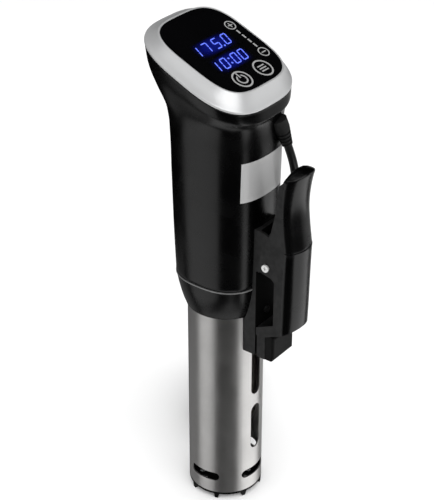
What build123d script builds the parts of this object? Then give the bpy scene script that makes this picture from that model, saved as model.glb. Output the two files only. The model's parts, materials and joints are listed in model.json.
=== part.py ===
from build123d import *
import os
from math import copysign, cos, pi, radians, sin, tan

# Immersion circulator: a slotted steel tube under a hand-sized housing whose flared head carries a sloped
# glass panel. A sprung clamp on the user's side grips the wall of a pot.
# Frame: millimetres, Z up the tube's axis, origin on the surface that the feet stand on. -Y is the user's side.

# ---------------------------------------------------------------- driving dimensions
outline_points = 28  # points of each smooth outline

sleeve_radius = 30.0
sleeve_wall = 1.0
sleeve_bottom = 5.9
sleeve_top = 192.0
side_slot_low, side_slot_high = 17.8, 25.5
side_slot_count = 4
side_slot_arc = 54.0
front_slot_width = 11.0
front_slots = ((44.8, 43.0), (98.4, 52.0))  # where each one starts, and its length

cap_flange_bottom = 4.0
cap_floor = 2.0
cap_skirt_top = 16.0
cap_skirt_wall = 1.5
cap_clearance = 0.1
foot_count = 8
foot_root_width, foot_tip_width = 5.0, 2.6
foot_depth = 3.2
grille_hole_radius = 2.4
grille_ring_radius = 19.0
grille_hole_count = 14
shaft_opening_radius = 9.0

collar_bottom, parting_height = 176.8, 205.0
collar_bottom_radius = 30.9
ring_height, ring_proud, ring_width = 0.9, 0.2, 1.6
housing_wall = 2.5
bezel_centre_y, bezel_centre_z = 7.07, 375.4
bezel_tilt, panel_tilt = 24.36, 23.07
bezel_half_x, bezel_half_y, bezel_power = 47.25, 52.0, 3.02
bezel_lip = 1.2
bezel_rim = 1.1
bezel_bow = 1.25  # above 1, the slope is a little hollow
panel_centre_y, panel_centre_z = 4.54, 385.1
panel_half_x, panel_half_y, panel_power = 36.6, 41.2, 3.67
glass_thickness = 2.0
glass_clearance = 0.15
glass_ledge = 3.0
print_thickness = 0.12

key_radius, key_line = 8.2, 1.3
key_x, key_y = 12.4, -29.9
small_key_radius, small_key_line = 4.7, 0.9
small_key_x, plus_y, minus_y = 27.9, 14.5, -18.4
dash_count, dash_length, dash_width, dash_pitch = 4, 3.9, 1.5, 5.47
digit_height, digit_width, digit_line, digit_slant = 9.4, 5.2, 0.95, 13.0
# Each row of digits: its height up the panel, what it shows, and the middle of every digit.
digit_rows = (
    (6.0, "1750", (-21.6, -10.4, 1.0, 12.0)),
    (-12.0, "1000", (-21.0, -10.6, 1.6, 10.2)),
)
point_x, colon_x, dot_radius = 6.5, -4.4, 0.8

board_drop, board_thickness, board_inset = 11.0, 1.6, 4.5
board_post_x, board_post_y, board_post_radius = 24.0, 28.0, 2.5
display_half_x, display_half_y, display_depth = 24.0, 14.0, 7.0

plate_half_width, plate_low, plate_high, plate_proud = 23.0, 282.5, 314.5, 0.35
plate_aside = 2.5  # the rating plate sits a little to the user's left

bulkhead_thickness, bulkhead_radius = 4.0, 31.2
bulkhead_plug_depth, bulkhead_plug_clearance = 9.0, 0.15
seal_section_radius, seal_drop = 1.0, 4.5
shaft_radius, shaft_clearance = 2.0, 0.05
shaft_bottom, shaft_top = 30.0, 276.0
bush_radius, bush_length, bush_proud = 5.0, 14.0, 1.0
impeller_height, impeller_radius, impeller_hub_radius = 10.0, 20.0, 4.5
impeller_blades = (6, 1.4, 18.0)  # how many, how thick, how slanted
coupling_radius, coupling_length, coupling_gap = 5.0, 8.0, 2.0
motor_bottom, motor_length, motor_radius, motor_wall = 216.0, 42.0, 17.5, 1.5
motor_plate_radius, motor_plate_thickness = 25.0, 2.0
standoff_ring, standoff_radius = 21.0, 3.0
armature_radius, armature_inset = 12.0, 4.0
fan_gap, fan_height, fan_radius, fan_hub_radius = 4.0, 9.0, 19.0, 6.0
fan_blades = (7, 1.2, 45.0)
heater_radius, heater_ring = 3.0, 22.0
heater_bottom, heater_middle_top, heater_bend = 62.0, 158.0, 10.0
heater_stub = 9.0
probe_radius, probe_bottom, probe_ring = 2.0, 78.0, 24.0
level_radius, level_spread = 1.5, 5.0
level_bottoms = (95.0, 150.0)
nut_width, nut_height = 9.0, 4.0

power_board_width, power_board_low, power_board_high, power_board_y = 50.0, 282.0, 326.0, 20.8
rail_depth, rail_wall = 2.5, 1.6
# What stands on the power board: its height, then each piece's place across and up, width, length (0: round).
board_parts = {
    "transformer": (16.0, [(-12.0, 10.0, 19.0, 17.0)]),
    "relay": (15.0, [(12.0, 12.0, 16.0, 12.0)]),
    "capacitors": (18.0, [(-17.0, -9.0, 10.0, 0.0), (-6.0, -9.0, 10.0, 0.0), (4.0, -7.0, 8.0, 0.0)]),
    "heatsink": (12.0, [(15.0, -17.0, 12.0, 1.4), (15.0, -14.0, 12.0, 1.4), (15.0, -11.0, 12.0, 1.4)]),
}
boss_ring, boss_radius, boss_hole_radius, boss_height = 32.2, 4.4, 1.25, 22.0
boss_angles = (45, 135, 225, 315)
screw_head_radius, screw_head_height, screw_radius = 2.8, 2.0, 1.2
head_clearance = 0.2
motor_screw_grip = 6.0
collar_screw_length = 18.0

pivot_y, pivot_z = -48.6, 229.6
pivot_radius, pivot_clearance = 2.0, 0.06
bracket_half_width, bracket_cheek = 13.8, 2.2
bracket_top, bracket_bottom = 257.5, 146.5
bracket_back_y = -40.7
bracket_screw_heights = (182.0, 246.0)
bracket_screw_depth = 30.3  # from the tube's axis to the screws' points
jaw_face_y = -38.2
body_clearance = 0.35
lever_gap, lever_plate = 0.35, 1.6
lever_leg_half_width = 14.2
lever_bottom_z = 146.2
lever_leg_face_y = -40.3
pad_thickness, pad_inset, pad_corner = 0.8, 2.0, 2.0
block_depth, block_round = 7.5, 2.4
block_top = 168.0
lever_seam_z = 247.0
lever_seam_gap = 0.4
grip_top, grip_arch, grip_flare = 311.5, 5.0, 14.0
cover_overlap = 3.0
lever_bottom_slope = 26.0
pivot_head_radius, pivot_head_height = 3.0, 1.4
pivot_slot = 0.7
spring_radius, spring_wire, spring_turns, spring_pitch = 4.2, 0.6, 5, 1.6

gland_base_radius, gland_tip_radius, gland_outside, gland_inside = 6.2, 4.1, 14.6, 8.0
gland_ribs, gland_rib_depth, gland_rib_width, gland_rib_pitch = 4, 0.9, 1.5, 3.1
cord_radius = 3.2
# The cord's route: out of the strain relief, past the clamp's free side and down behind the tube.
cord_route = [
    (17.3, -42.3, 317.0),
    (21.5, -45.0, 303.0),
    (27.0, -44.5, 283.0),
    (36.0, -37.0, 257.0),
    (45.0, -23.0, 229.0),
    (51.0, -5.0, 198.0),
    (52.0, 13.0, 162.0),
    (48.5, 21.5, 122.0),
    (45.5, 20.5, 86.0),
    (42.4, 11.3, 59.0),
    (42.8, 7.6, 37.0),
    (48.6, 10.1, 20.1),
    (59.7, 17.7, 8.1),
    (71.2, 28.0, 3.6),
]
cord_bend_share = 0.45  # how much of its shorter neighbour each bend uses
behind_angle = 36.74  # the spare cord lies folded behind the tube, this way from +X
hank_middle, hank_half_length = 104.5, 54.5
hank_fold = 19.8  # from the middle of a fold to the cord's centreline
hank_layers, hank_waist, hank_fillet = 4, 7.4, 15.0
tie_thickness, tie_width = 1.2, 9.0
plug_half_width, plug_half_height, plug_length, plug_corner = 12.5, 8.0, 30.0, 3.5
plug_across, plug_start, boot_start, boot_radius, boot_height = 18.0, 110.0, 126.0, 4.2, 29.8
blade_width, blade_thickness, blade_length, blade_spread = 6.3, 1.5, 17.0, 12.7
ground_radius, ground_length, ground_rise = 2.4, 19.0, 4.0

sleeve_inner = sleeve_radius - sleeve_wall
collar_screw_seat = sleeve_top + bulkhead_thickness + screw_head_height
hank_height = 2 * hank_layers * cord_radius
hank_end_radius = hank_fold + cord_radius

# The outside of the body as level or tilted sections: y, z, tilt, half size in X, half size in Y, power.
collar_sections = [
    (0, collar_bottom, 0, collar_bottom_radius, collar_bottom_radius, 2.05),
    (0, 183.0, 0, 32.4, 32.7, 2.15),
    (0, 192.0, 0, 34.0, 34.5, 2.3),
    (0, parting_height, 0, 35.2, 36.2, 2.55),
]
grip_body_sections = [
    (0, parting_height, 0, 35.2, 36.2, 2.55),
    (0, 240.0, 0, 36.1, 37.1, 2.6),
    (0, 290.0, 0, 37.0, 37.9, 2.65),
    (0, 326.0, 0, 37.5, 38.5, 2.7),
]
head_sections = [
    (0, 326.0, 0, 37.5, 38.5, 2.7),
    (0.2, 336.0, 1.0, 37.9, 38.9, 2.75),
    (1.0, 345.5, 4.5, 39.2, 40.4, 2.8),
    (3.4, 353.5, 12.0, 42.0, 45.2, 2.9),
    (6.0, 362.0, 20.0, 45.2, 49.6, 3.0),
    (bezel_centre_y, bezel_centre_z, bezel_tilt, bezel_half_x, bezel_half_y, bezel_power),
]
# The lever's outer cover: height, y of its flat back, and how far it bulges out from there.
lower_cover_sections = [(164.0, -62.6, 8.4), (190.0, -62.8, 9.8), (220.0, -63.4, 9.8), (246.8, -64.6, 9.3)]
grip_sections = [
    (247.2, -64.6, 8.9),
    (262.0, -62.6, 8.8),
    (280.0, -61.2, 8.8),
    (297.0, -61.8, 10.2),
    (318.0, -64.2, 13.6),
]
# The line in y and z that parts the lever's side plates from its cover.
crease = [(-62.7, 174.4), (-62.8, 190.0), (-63.4, 220.0), (-64.6, 247.0)]
crease += [(-62.6, 262.0), (-61.2, 280.0), (-61.8, 297.0)]
lever_tip = (-63.7, 306.4)
web_thickness = 2.4
# The rest of the side plates' outline, from the tip down the pot's side and round the lower bar.
plate_inside = [(-58.4, 300.8), (-56.3, 278.8), (-52.3, 260.8), (-48.0, 250.9), (-42.9, 237.0), (-41.0, 228.0)]
plate_window = [(-41.6, 223.0), (-43.3, 224.1), (-53.2, 221.7), (-56.0, 219.0)]
bar_outline = [(-55.9, 181.0), (-41.2, 174.2), (lever_leg_face_y, 173.7)]
bar_outline += [(lever_leg_face_y, 167.4), (-47.7, 167.4)]
# The bracket's outline in y and z, down its back and round its pivot cheeks.
cheek_outline = [
    (-20.0, bracket_bottom),
    (jaw_face_y, bracket_bottom),
    (jaw_face_y, pivot_z - 8.0),
    (pivot_y + 6.0, pivot_z - 5.5),
    (pivot_y - 2.0, pivot_z - 5.5),
    (pivot_y - 5.0, pivot_z - 2.0),
    (pivot_y - 5.0, pivot_z + 14.0),
    (-49.8, 254.4),
    (-44.5, 256.8),
    (-38.0, bracket_top),
    (-20.0, bracket_top),
]
channel_bottom = 221.0


# ---------------------------------------------------------------- shared shapes
def smooth_outline(half_x, half_y, power):
    """A closed outline between an ellipse, at power 2, and a rectangle."""
    points = []
    for i in range(outline_points):
        across, along = cos(2 * pi * i / outline_points), sin(2 * pi * i / outline_points)
        x = copysign(half_x * abs(across) ** (2 / power), across)
        y = copysign(half_y * abs(along) ** (2 / power), along)
        points.append((x, y))
    Spline(*points, periodic=True)


def outline_sketch(plane, half_x, half_y, power):
    with BuildSketch(plane) as sketch:
        with BuildLine():
            smooth_outline(half_x, half_y, power)
        make_face()
    return sketch.sketch.face()


def tilted(y, z, tilt):
    """A plane that rises away from the user."""
    return Plane(origin=(0, y, z), x_dir=(1, 0, 0), z_dir=(0, -sin(radians(tilt)), cos(radians(tilt))))


def body_loft(sections, grow=0.0, mode=Mode.ADD):
    """The body's outside through its sections, every one of them grown by the same amount."""
    faces = []
    for y, z, tilt, half_x, half_y, power in sections:
        faces.append(outline_sketch(tilted(y, z, tilt), half_x + grow, half_y + grow, power))
    loft(faces, mode=mode)


def lying(x, y, z, angle):
    """A level plane whose X points along the given direction."""
    return Plane(origin=(x, y, z), x_dir=(cos(radians(angle)), sin(radians(angle)), 0), z_dir=(0, 0, 1))


def section_at(sections, z):
    """The half sizes of the body at a height, between its two nearest level sections."""
    for low, high in zip(sections, sections[1:]):
        if low[1] <= z <= high[1]:
            share = (z - low[1]) / (high[1] - low[1])
            return tuple(a + share * (b - a) for a, b in zip(low[3:], high[3:]))


def parting_ring(proud, mode):
    """The ring under the parting line, from a little inside the collar's outline to a little outside it."""
    half_x, half_y, power = collar_sections[-1][3:]
    base = Plane.XY.offset(parting_height - ring_height)
    with BuildPart(mode=Mode.PRIVATE) as ring:
        extrude(outline_sketch(base, half_x + proud, half_y + proud, power), amount=ring_height)
        inner = outline_sketch(base, half_x - ring_width, half_y - ring_width, power)
        extrude(inner, amount=ring_height, mode=Mode.SUBTRACT)
    add(ring.part, mode=mode)


def screw_holes(mode):
    """The two holes for the bracket's screws, from inside the body out."""
    with BuildPart(mode=Mode.PRIVATE) as holes:
        with BuildSketch(Plane.XZ.offset(bracket_screw_depth)):
            with Locations(*[(0, z) for z in bracket_screw_heights]):
                Circle(screw_radius)
        extrude(amount=sleeve_radius)
    add(holes.part, mode=mode)


def board_rails():
    """Two grooved rails on the housing's wall that hold the power board by its edges."""
    half = power_board_width / 2
    with BuildPart(mode=Mode.PRIVATE) as rails:
        with BuildSketch(Plane.XY.offset(power_board_low)):
            with Locations((-half - rail_depth, power_board_y), (half + rail_depth, power_board_y)):
                Rectangle(4 * rail_depth, board_thickness + 2 * rail_wall)
        extrude(amount=power_board_high - power_board_low)
        with BuildSketch(Plane.XY.offset(power_board_low)):
            with Locations((0, power_board_y)):
                Rectangle(power_board_width, board_thickness)
        extrude(amount=power_board_high - power_board_low, mode=Mode.SUBTRACT)
        body_loft(grip_body_sections, -housing_wall / 2, Mode.INTERSECT)
    add(rails.part)


def write(builder, name):
    builder.part.label = name
    export_step(builder.part, f"parts/{name}.step")


def turned(radius, angle):
    return (radius * cos(radians(angle)), radius * sin(radians(angle)))


os.makedirs("parts", exist_ok=True)
bezel_plane = tilted(bezel_centre_y, bezel_centre_z, bezel_tilt)
panel = tilted(panel_centre_y, panel_centre_z, panel_tilt)

# ---------------------------------------------------------------- steel sleeve and bottom cap
side_slot_length = 2 * sleeve_radius * sin(radians(side_slot_arc / 2))
with BuildPart() as steel_sleeve:
    with BuildSketch(Plane.XY.offset(sleeve_bottom)):
        Circle(sleeve_radius)
        Circle(sleeve_inner, mode=Mode.SUBTRACT)
    extrude(amount=sleeve_top - sleeve_bottom)
    for i in range(side_slot_count):
        outward = turned(1, i * 360 / side_slot_count)
        along = turned(1, i * 360 / side_slot_count + 90)
        middle = (0, 0, (side_slot_low + side_slot_high) / 2)
        with BuildSketch(Plane(origin=middle, x_dir=(*along, 0), z_dir=(*outward, 0))):
            SlotOverall(side_slot_length, side_slot_high - side_slot_low)
        extrude(amount=2 * sleeve_radius, mode=Mode.SUBTRACT)
    for start, length in front_slots:
        with BuildSketch(Plane.XZ):
            with Locations((0, start + length / 2)):
                SlotOverall(length, front_slot_width, rotation=90)
        extrude(amount=2 * sleeve_radius, mode=Mode.SUBTRACT)
write(steel_sleeve, "steel_sleeve")

skirt_radius = sleeve_inner - cap_clearance
with BuildPart() as bottom_cap:
    with BuildSketch(Plane.XY.offset(cap_flange_bottom)):
        Circle(sleeve_radius)
    extrude(amount=sleeve_bottom - cap_flange_bottom)
    with BuildSketch(Plane.XY.offset(cap_flange_bottom)):
        Circle(skirt_radius)
        Circle(skirt_radius - cap_skirt_wall, mode=Mode.SUBTRACT)
    extrude(amount=cap_skirt_top - cap_flange_bottom)
    for i in range(foot_count):
        angle = (i + 0.5) * 360 / foot_count
        foot_x, foot_y = turned(sleeve_radius - foot_depth / 2, angle)
        with BuildSketch(lying(foot_x, foot_y, cap_flange_bottom + cap_floor / 2, angle)):
            Rectangle(foot_depth, foot_root_width)
        with BuildSketch(lying(foot_x, foot_y, 0, angle)):
            Rectangle(foot_depth, foot_tip_width)
        loft()
    with BuildSketch(Plane.XY.offset(cap_flange_bottom)):
        Circle(shaft_opening_radius)
        with PolarLocations(grille_ring_radius, grille_hole_count):
            Circle(grille_hole_radius)
    extrude(amount=sleeve_bottom - cap_flange_bottom, mode=Mode.SUBTRACT)
write(bottom_cap, "bottom_cap")

# ---------------------------------------------------------------- collar, seam ring, housing
with BuildPart() as lower_collar:
    body_loft(collar_sections)
    with BuildSketch(Plane.XY.offset(collar_bottom)):
        Circle(sleeve_radius)
    extrude(amount=sleeve_top - collar_bottom, mode=Mode.SUBTRACT)
    hollow = []
    for z in (sleeve_top, parting_height):
        half_x, half_y, power = section_at(collar_sections, z)
        hollow.append(outline_sketch(Plane.XY.offset(z), half_x - housing_wall, half_y - housing_wall, power))
    loft(hollow, mode=Mode.SUBTRACT)
    for angle in boss_angles:
        with BuildSketch(Plane.XY.offset(collar_screw_seat)):
            with Locations(turned(boss_ring, angle)):
                Circle(boss_radius)
        extrude(amount=parting_height - collar_screw_seat)
    with Locations(*[(*turned(boss_ring, angle), parting_height) for angle in boss_angles]):
        Hole(screw_radius + head_clearance, depth=parting_height - collar_screw_seat)
    with BuildSketch(Plane.XY.offset(sleeve_top)):
        with Locations(*[turned(boss_ring, angle) for angle in boss_angles]):
            Circle(screw_head_radius + head_clearance)
    extrude(amount=collar_screw_seat - sleeve_top, mode=Mode.SUBTRACT)
    body_loft(collar_sections, mode=Mode.INTERSECT)
    parting_ring(ring_proud, Mode.SUBTRACT)
    screw_holes(Mode.SUBTRACT)
write(lower_collar, "lower_collar")

with BuildPart() as seam_ring:
    parting_ring(ring_proud, Mode.ADD)
write(seam_ring, "seam_ring")

gland_direction = (Vector(*cord_route[1]) - Vector(*cord_route[0])).normalized()
gland_plane = Plane(origin=Vector(*cord_route[0]) - gland_direction * gland_outside, z_dir=gland_direction)

with BuildPart() as housing:
    body_loft(grip_body_sections)
    body_loft(head_sections)
    body_loft(grip_body_sections, -housing_wall, Mode.SUBTRACT)
    body_loft(head_sections, -housing_wall, Mode.SUBTRACT)
    for angle in boss_angles:
        with BuildSketch(Plane.XY.offset(parting_height)):
            with Locations(turned(boss_ring, angle)):
                Circle(boss_radius)
        extrude(amount=boss_height)
    with Locations(*[(*turned(boss_ring, angle), parting_height) for angle in boss_angles]):
        Hole(boss_hole_radius, depth=boss_height - housing_wall)
    with BuildSketch(gland_plane.offset(-gland_outside)):
        Circle(gland_base_radius)
    extrude(amount=2 * gland_outside, mode=Mode.SUBTRACT)
    board_rails()
    screw_holes(Mode.SUBTRACT)
write(housing, "housing")

# ---------------------------------------------------------------- sloped head: bezel, glass and printed panel
pocket_x, pocket_y = panel_half_x + glass_clearance, panel_half_y + glass_clearance
lip_plane = bezel_plane.offset(bezel_lip)


def between(share):
    """A section of the bezel's slope, from its lip at 0 to the panel's plane at 1."""
    low = (lip_plane.origin.Y, lip_plane.origin.Z, bezel_tilt, bezel_half_x, bezel_half_y, bezel_power)
    high = (panel_centre_y, panel_centre_z, panel_tilt, pocket_x + bezel_rim, pocket_y + bezel_rim, panel_power)
    inward = 1 - (1 - share) ** bezel_bow
    place = [a + (b - a) * share for a, b in zip(low[:3], high[:3])]
    size = [a + (b - a) * inward for a, b in zip(low[3:], high[3:])]
    return (*place, *size)


with BuildPart() as bezel:
    extrude(outline_sketch(bezel_plane, bezel_half_x, bezel_half_y, bezel_power), amount=bezel_lip)
    body_loft([between(share) for share in (0, 0.35, 0.7, 1)])
    pocket = outline_sketch(panel.offset(-glass_thickness), pocket_x, pocket_y, panel_power)
    extrude(pocket, amount=2 * glass_thickness, mode=Mode.SUBTRACT)
    opening = outline_sketch(panel.offset(-30), pocket_x - glass_ledge, pocket_y - glass_ledge, panel_power)
    extrude(opening, amount=60, mode=Mode.SUBTRACT)
write(bezel, "bezel")

with BuildPart() as touch_glass:
    glass_back = panel.offset(-glass_thickness)
    extrude(outline_sketch(glass_back, panel_half_x, panel_half_y, panel_power), amount=glass_thickness)
write(touch_glass, "touch_glass")


def ring(radius, line):
    Circle(radius)
    Circle(radius - line, mode=Mode.SUBTRACT)


with BuildPart() as panel_icons:
    with BuildSketch(panel):
        with Locations((-key_x, key_y), (key_x, key_y)):
            ring(key_radius, key_line)
        with Locations((small_key_x, plus_y), (small_key_x, minus_y)):
            ring(small_key_radius, small_key_line)
            Rectangle(small_key_radius, small_key_line)
        with Locations((small_key_x, plus_y)):
            Rectangle(small_key_line, small_key_radius)
        with Locations((-key_x, key_y)):
            ring(key_radius * 0.56, key_line * 0.9)
        with Locations((-key_x, key_y + key_radius * 0.5)):
            Rectangle(key_line * 3, key_radius * 0.62, mode=Mode.SUBTRACT)
            Rectangle(key_line * 0.9, key_radius * 0.62)
        for row in (-1, 0, 1):
            with Locations((key_x, key_y + row * key_radius * 0.3)):
                Rectangle(key_radius * 0.9, key_line * 0.8)
        with Locations((small_key_x, (plus_y + minus_y) / 2)):
            with GridLocations(0, dash_pitch, 1, dash_count):
                Rectangle(dash_width, dash_length)
    extrude(amount=print_thickness)
write(panel_icons, "panel_icons")

# Seven strokes of a digit, each with its middle and its direction, in halves of the digit's size.
strokes = {
    "top": (0, 1, False),
    "middle": (0, 0, False),
    "bottom": (0, -1, False),
    "upper_left": (-1, 0.5, True),
    "upper_right": (1, 0.5, True),
    "lower_left": (-1, -0.5, True),
    "lower_right": (1, -0.5, True),
}
digits = {
    "0": ("top", "bottom", "upper_left", "upper_right", "lower_left", "lower_right"),
    "1": ("upper_right", "lower_right"),
    "5": ("top", "upper_left", "middle", "lower_right", "bottom"),
    "7": ("top", "upper_right", "lower_right"),
}
lean = tan(radians(digit_slant))


def stroke_corners(x, y, upright):
    """The corners of one lit stroke, a bar that leans with the digit."""
    half_w, half_h = digit_width / 2, digit_height / 2
    gap = digit_line * 0.35
    if upright:
        low, high = (y - 0.5) * half_h + gap, (y + 0.5) * half_h - gap
        side = x * half_w
        corners = [(side - digit_line / 2 + v * lean, v) for v in (low, high)]
        corners += [(side + digit_line / 2 + v * lean, v) for v in (high, low)]
    else:
        level = y * half_h
        low, high = level - digit_line / 2, level + digit_line / 2
        corners = [(-half_w + gap + low * lean, low), (-half_w + gap + high * lean, high)]
        corners += [(half_w - gap + high * lean, high), (half_w - gap + low * lean, low)]
    return corners


with BuildPart() as display_digits:
    for row_y, text, middles in digit_rows:
        for digit, middle in zip(text, middles):
            start = panel.from_local_coords(Vector(middle, row_y, 0))
            with BuildSketch(Plane(start, panel.x_dir, panel.z_dir)):
                for name in digits[digit]:
                    x, y, upright = strokes[name]
                    with BuildLine():
                        Polyline(*stroke_corners(x, y, upright), close=True)
                    make_face()
            extrude(amount=print_thickness)
    first_row_y, second_row_y = digit_rows[0][0], digit_rows[1][0]
    with BuildSketch(panel):
        for step in (-1, 1):
            rise = step * digit_height / 4
            with Locations((colon_x + rise * lean, second_row_y + rise)):
                Circle(dot_radius)
        with Locations((point_x - lean * digit_height / 2, first_row_y - digit_height / 2)):
            Circle(dot_radius)
    extrude(amount=print_thickness)
write(display_digits, "display_digits")

# ---------------------------------------------------------------- behind the panel
display_middle = (-3.0, -3.0)
gap_behind_glass = board_drop - board_thickness - glass_thickness
board_face = panel.offset(-board_drop + board_thickness)

with BuildPart() as display_module:
    with BuildSketch(board_face):
        with Locations(display_middle):
            Rectangle(2 * display_half_x, 2 * display_half_y)
    extrude(amount=gap_behind_glass)
write(display_module, "display_module")

with BuildPart() as control_board:
    board_half_x, board_half_y = panel_half_x - board_inset, panel_half_y - board_inset
    board_outline = outline_sketch(panel.offset(-board_drop), board_half_x, board_half_y, panel_power)
    extrude(board_outline, amount=board_thickness)
write(control_board, "control_board")

with BuildPart() as board_posts:
    with BuildSketch(board_face):
        with GridLocations(2 * board_post_x, 2 * board_post_y, 2, 2):
            Circle(board_post_radius)
    extrude(amount=gap_behind_glass)
write(board_posts, "board_posts")

with BuildPart() as rating_plate:
    body_loft(grip_body_sections, plate_proud)
    body_loft(grip_body_sections, 0, Mode.SUBTRACT)
    with BuildSketch(Plane.XY.offset(plate_low)):
        with Locations((-plate_aside, -1.5 * sleeve_radius)):
            Rectangle(2 * plate_half_width, 3 * sleeve_radius)
    extrude(amount=plate_high - plate_low, mode=Mode.INTERSECT)
write(rating_plate, "rating_plate")

# ---------------------------------------------------------------- bulkhead, heater and probes
bulkhead_top = sleeve_top + bulkhead_thickness
groove_bottom = sleeve_top - seal_drop - seal_section_radius
heater_legs = [turned(heater_ring, angle) for angle in (45, 135, 225, 315)]
heater_ends = (heater_legs[0], heater_legs[3])
level_places = [(-level_spread, probe_ring), (level_spread, probe_ring)]

with BuildPart() as bulkhead:
    with BuildSketch(Plane.XY.offset(sleeve_top)):
        Circle(bulkhead_radius)
    extrude(amount=bulkhead_thickness)
    with BuildSketch(Plane.XY.offset(sleeve_top - bulkhead_plug_depth)):
        Circle(sleeve_inner - bulkhead_plug_clearance)
    extrude(amount=bulkhead_plug_depth)
    with BuildSketch(Plane.XY.offset(groove_bottom)):
        Circle(sleeve_inner)
        Circle(sleeve_inner - 2 * seal_section_radius, mode=Mode.SUBTRACT)
    extrude(amount=2 * seal_section_radius, mode=Mode.SUBTRACT)
    with Locations((0, 0, bulkhead_top)):
        Hole(bush_radius)
    with Locations(*[(*place, bulkhead_top) for place in heater_ends]):
        Hole(heater_radius)
    with Locations((probe_ring, 0, bulkhead_top)):
        Hole(probe_radius)
    with Locations(*[(*place, bulkhead_top) for place in level_places]):
        Hole(level_radius)
write(bulkhead, "bulkhead")

with BuildPart() as bulkhead_seal:
    with Locations((0, 0, sleeve_top - seal_drop)):
        Torus(sleeve_inner - seal_section_radius, seal_section_radius)
write(bulkhead_seal, "bulkhead_seal")

with BuildPart() as shaft_bush:
    with BuildSketch(Plane.XY.offset(bulkhead_top + bush_proud - bush_length)):
        Circle(bush_radius)
        Circle(shaft_radius + shaft_clearance, mode=Mode.SUBTRACT)
    extrude(amount=bush_length)
write(shaft_bush, "shaft_bush")

with BuildPart() as heater_coil:
    heater_top = bulkhead_top + heater_stub
    levels = (heater_top, heater_bottom, heater_bottom, heater_middle_top)
    levels += levels[::-1]
    corners = [(*heater_legs[i // 2], z) for i, z in enumerate(levels)]
    with BuildLine() as heater_path:
        FilletPolyline(*corners, radius=heater_bend)
    with BuildSketch(Plane(origin=heater_path.line @ 0, z_dir=heater_path.line % 0)):
        Circle(heater_radius)
    sweep(path=heater_path.line)
write(heater_coil, "heater_coil")

with BuildPart() as heater_nuts:
    with BuildSketch(Plane.XY.offset(bulkhead_top)):
        with Locations(*heater_ends):
            RegularPolygon(nut_width / 2, 6)
            Circle(heater_radius, mode=Mode.SUBTRACT)
    extrude(amount=nut_height)
write(heater_nuts, "heater_nuts")

probe_top = bulkhead_top + heater_stub / 2
with BuildPart() as temperature_probe:
    with BuildSketch(Plane.XY.offset(probe_bottom)):
        with Locations((probe_ring, 0)):
            Circle(probe_radius)
    extrude(amount=probe_top - probe_bottom)
    with Locations((probe_ring, 0, probe_bottom)):
        Sphere(probe_radius)
write(temperature_probe, "temperature_probe")

with BuildPart() as level_probes:
    for place, bottom in zip(level_places, level_bottoms):
        with BuildSketch(Plane.XY.offset(bottom)):
            with Locations(place):
                Circle(level_radius)
        extrude(amount=probe_top - bottom)
write(level_probes, "level_probes")

# ---------------------------------------------------------------- motor and rotor
standoffs = [turned(standoff_ring, angle) for angle in (90, 180, 270)]
motor_plate_bottom = motor_bottom - motor_plate_thickness
motor_screw_bottom = motor_plate_bottom - motor_screw_grip

with BuildPart() as motor_bracket:
    with BuildSketch(Plane.XY.offset(motor_plate_bottom)):
        Circle(motor_plate_radius)
        Circle(coupling_radius + 1, mode=Mode.SUBTRACT)
    extrude(amount=motor_plate_thickness)
    with BuildSketch(Plane.XY.offset(bulkhead_top)):
        with Locations(*standoffs):
            Circle(standoff_radius)
    extrude(amount=motor_plate_bottom - bulkhead_top)
    with BuildSketch(Plane.XY.offset(motor_screw_bottom)):
        with Locations(*standoffs):
            Circle(screw_radius)
    extrude(amount=motor_bottom - motor_screw_bottom, mode=Mode.SUBTRACT)
write(motor_bracket, "motor_bracket")

with BuildPart() as motor_screws:
    with BuildSketch(Plane.XY.offset(motor_screw_bottom)):
        with Locations(*standoffs):
            Circle(screw_radius)
    extrude(amount=motor_bottom - motor_screw_bottom)
    with BuildSketch(Plane.XY.offset(motor_bottom)):
        with Locations(*standoffs):
            Circle(screw_head_radius)
    extrude(amount=screw_head_height)
write(motor_screws, "motor_screws")

with BuildPart() as motor_can:
    with BuildSketch(Plane.XY.offset(motor_bottom)):
        Circle(motor_radius)
    extrude(amount=motor_length)
    with BuildSketch(Plane.XY.offset(motor_bottom + motor_wall)):
        Circle(motor_radius - motor_wall)
    extrude(amount=motor_length - 2 * motor_wall, mode=Mode.SUBTRACT)
    with Locations((0, 0, motor_bottom + motor_length)):
        Hole(shaft_radius + shaft_clearance)
write(motor_can, "motor_can")

with BuildPart() as motor_shaft:
    with BuildSketch(Plane.XY.offset(shaft_bottom)):
        Circle(shaft_radius)
    extrude(amount=shaft_top - shaft_bottom)
write(motor_shaft, "motor_shaft")


def on_shaft(name, bottom, height, radius):
    """A round piece fixed on the shaft."""
    with BuildPart() as piece:
        with BuildSketch(Plane.XY.offset(bottom)):
            Circle(radius)
            Circle(shaft_radius, mode=Mode.SUBTRACT)
        extrude(amount=height)
    write(piece, name)


def bladed(name, bottom, height, hub, radius, blade):
    """A hub on the shaft with flat blades round it: their count, thickness and slant."""
    count, thickness, slant = blade
    with BuildPart() as piece:
        for i in range(count):
            with Locations(Location((0, 0, bottom + height / 2), (0, 0, i * 360 / count))):
                with Locations(Location(((hub + radius) / 2, 0, 0), (slant, 0, 0))):
                    Box(radius - hub + 2, thickness, 2 * height)
        with BuildSketch(Plane.XY.offset(bottom)):
            Circle(radius)
        extrude(amount=height, mode=Mode.INTERSECT)
        with BuildSketch(Plane.XY.offset(bottom)):
            Circle(hub)
        extrude(amount=height)
        with BuildSketch(Plane.XY.offset(bottom)):
            Circle(shaft_radius)
        extrude(amount=height, mode=Mode.SUBTRACT)
    write(piece, name)


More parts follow.
